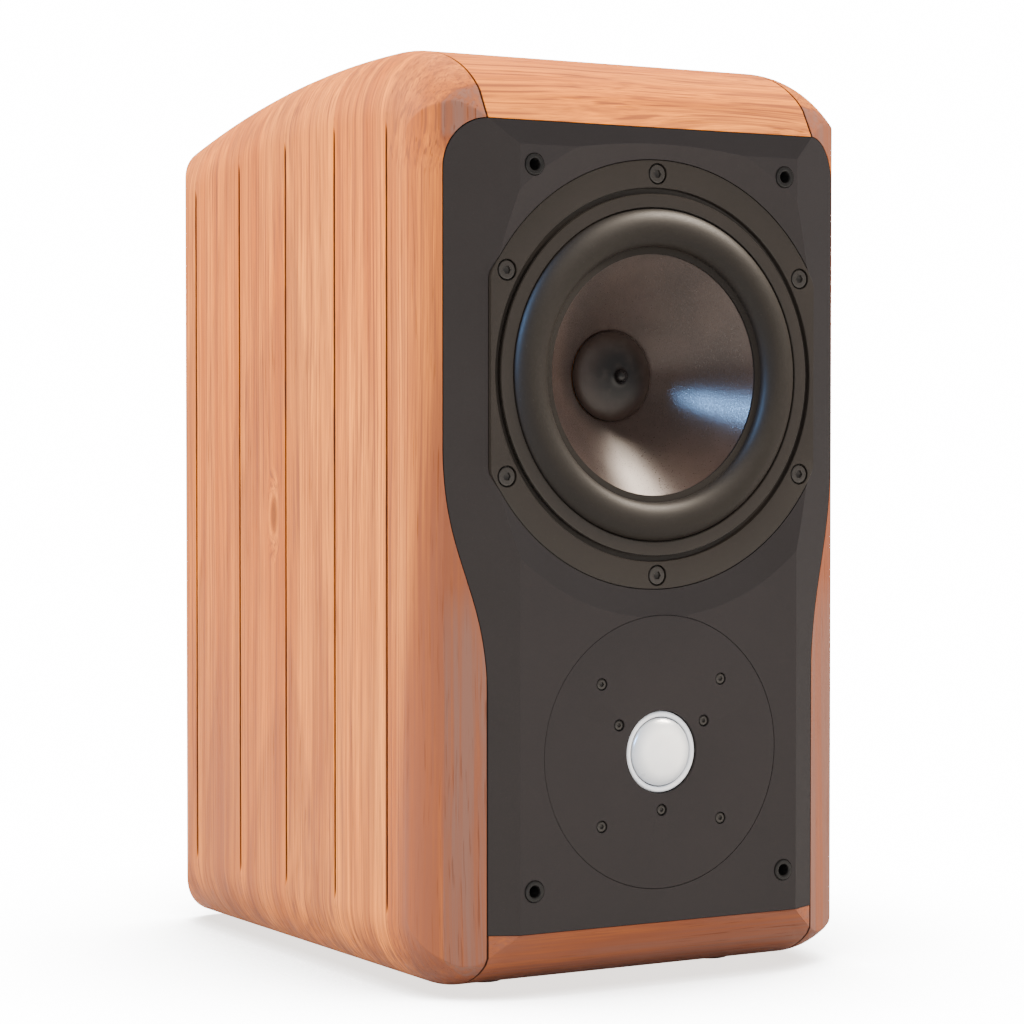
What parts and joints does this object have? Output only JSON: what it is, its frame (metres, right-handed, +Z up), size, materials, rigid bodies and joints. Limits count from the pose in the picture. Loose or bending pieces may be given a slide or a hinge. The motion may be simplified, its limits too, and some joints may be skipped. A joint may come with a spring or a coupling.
{
  "type": "bookshelf speaker",
  "caption": "Bookshelf speaker with stave-built wood sides, bevelled dark baffle, woofer above tweeter, rear port and screw terminals.",
  "frame": {"origin": "middle of the footprint, on the surface that the rubber feet stand on", "axes": "+Z up, front baffle towards -Y, +X to the right seen from the front"},
  "size_m": [0.22, 0.283, 0.412],
  "materials": {
    "walnut": "satin oiled",
    "board": "plain board, painted",
    "charcoal_lacquer": "matte charcoal lacquer",
    "cast_frame": "matte black coat",
    "rubber": "satin",
    "cone": "glossy brown",
    "black_plastic": "satin",
    "red_plastic": "satin",
    "silver_silk": "coated, pearl sheen",
    "steel": "plain",
    "black_steel": "black oxide",
    "ferrite": "matte",
    "brass": "polished",
    "copper": "enamelled wire",
    "spider_cloth": "stiffened cloth",
    "circuit_board": "solder mask"
  },
  "bodies": {
    "cabinet": {"back_panel": "board", "black_post_stud": "brass", "bottom_left_socket": "rubber", "bottom_panel": "walnut", "bottom_right_socket": "rubber", "crossover_board": "circuit_board", "front_baffle": "charcoal_lacquer", "front_left_foot": "rubber", "front_right_foot": "rubber", "left_stave_1": "walnut", "left_stave_2": "walnut", "left_stave_3": "walnut", "left_stave_4": "walnut", "left_stave_5": "walnut", "left_stave_6": "walnut", "port_tube": "black_plastic", "rear_left_foot": "rubber", "rear_right_foot": "rubber", "red_post_stud": "brass", "right_stave_1": "walnut", "right_stave_2": "walnut", "right_stave_3": "walnut", "right_stave_4": "walnut", "right_stave_5": "walnut", "right_stave_6": "walnut", "terminal_cup": "black_plastic", "top_left_socket": "rubber", "top_panel": "walnut", "top_right_socket": "rubber", "tweeter_magnet": "ferrite", "tweeter_plate": "charcoal_lacquer", "tweeter_rear_chamber": "black_plastic", "tweeter_screw_1": "black_steel", "tweeter_screw_2": "black_steel", "tweeter_screw_3": "black_steel", "tweeter_screw_4": "black_steel", "tweeter_surround": "silver_silk", "window_brace": "board", "woofer_back_plate": "steel", "woofer_basket": "cast_frame", "woofer_magnet": "ferrite", "woofer_screw_1": "black_steel", "woofer_screw_2": "black_steel", "woofer_screw_3": "black_steel", "woofer_screw_4": "black_steel", "woofer_screw_5": "black_steel", "woofer_screw_6": "black_steel", "woofer_spider": "spider_cloth", "woofer_surround": "rubber", "woofer_top_plate": "steel", "woofer_trim_ring": "cast_frame"},
    "woofer_moving": {"woofer_cone": "cone", "woofer_dust_cap": "black_plastic", "woofer_voice_coil": "copper"},
    "tweeter_moving": {"tweeter_dome": "silver_silk", "tweeter_coil": "copper"},
    "red_washer": {"red_post_washer": "brass"},
    "red_cap": {"red_post_cap": "red_plastic"},
    "black_washer": {"black_post_washer": "brass"},
    "black_cap": {"black_post_cap": "black_plastic"}
  },
  "joints": [
    {"name": "woofer_travel", "type": "slide", "parent": "cabinet", "child": "woofer_moving", "axis": [0, -1, 0], "range_m": [-0.005, 0.005], "stiffness_N_per_m": 1000, "deforming": ["woofer_surround", "woofer_spider"]},
    {"name": "tweeter_travel", "type": "slide", "parent": "cabinet", "child": "tweeter_moving", "axis": [0, -1, 0], "range_m": [-0.0005, 0.0005], "stiffness_N_per_m": 1500, "deforming": ["tweeter_surround"]},
    {"name": "red_washer_slide", "type": "slide", "parent": "cabinet", "child": "red_washer", "axis": [0, 1, 0], "range_m": [0, 0.005]},
    {"name": "red_cap_turn", "type": "hinge", "parent": "red_washer", "child": "red_cap", "pos_m": [-0.019, 0.12, 0.092], "axis": [0, 1, 0], "range_deg": [0, 1800]},
    {"name": "black_washer_slide", "type": "slide", "parent": "cabinet", "child": "black_washer", "axis": [0, 1, 0], "range_m": [0, 0.005]},
    {"name": "black_cap_turn", "type": "hinge", "parent": "black_washer", "child": "black_cap", "pos_m": [0.019, 0.12, 0.092], "axis": [0, 1, 0], "range_deg": [0, 1800]}
  ],
  "couplings": [
    {"joint": "red_washer_slide", "follows": "red_cap_turn", "m_per_rad": 0.00015915},
    {"joint": "black_washer_slide", "follows": "black_cap_turn", "m_per_rad": 0.00015915}
  ]
}
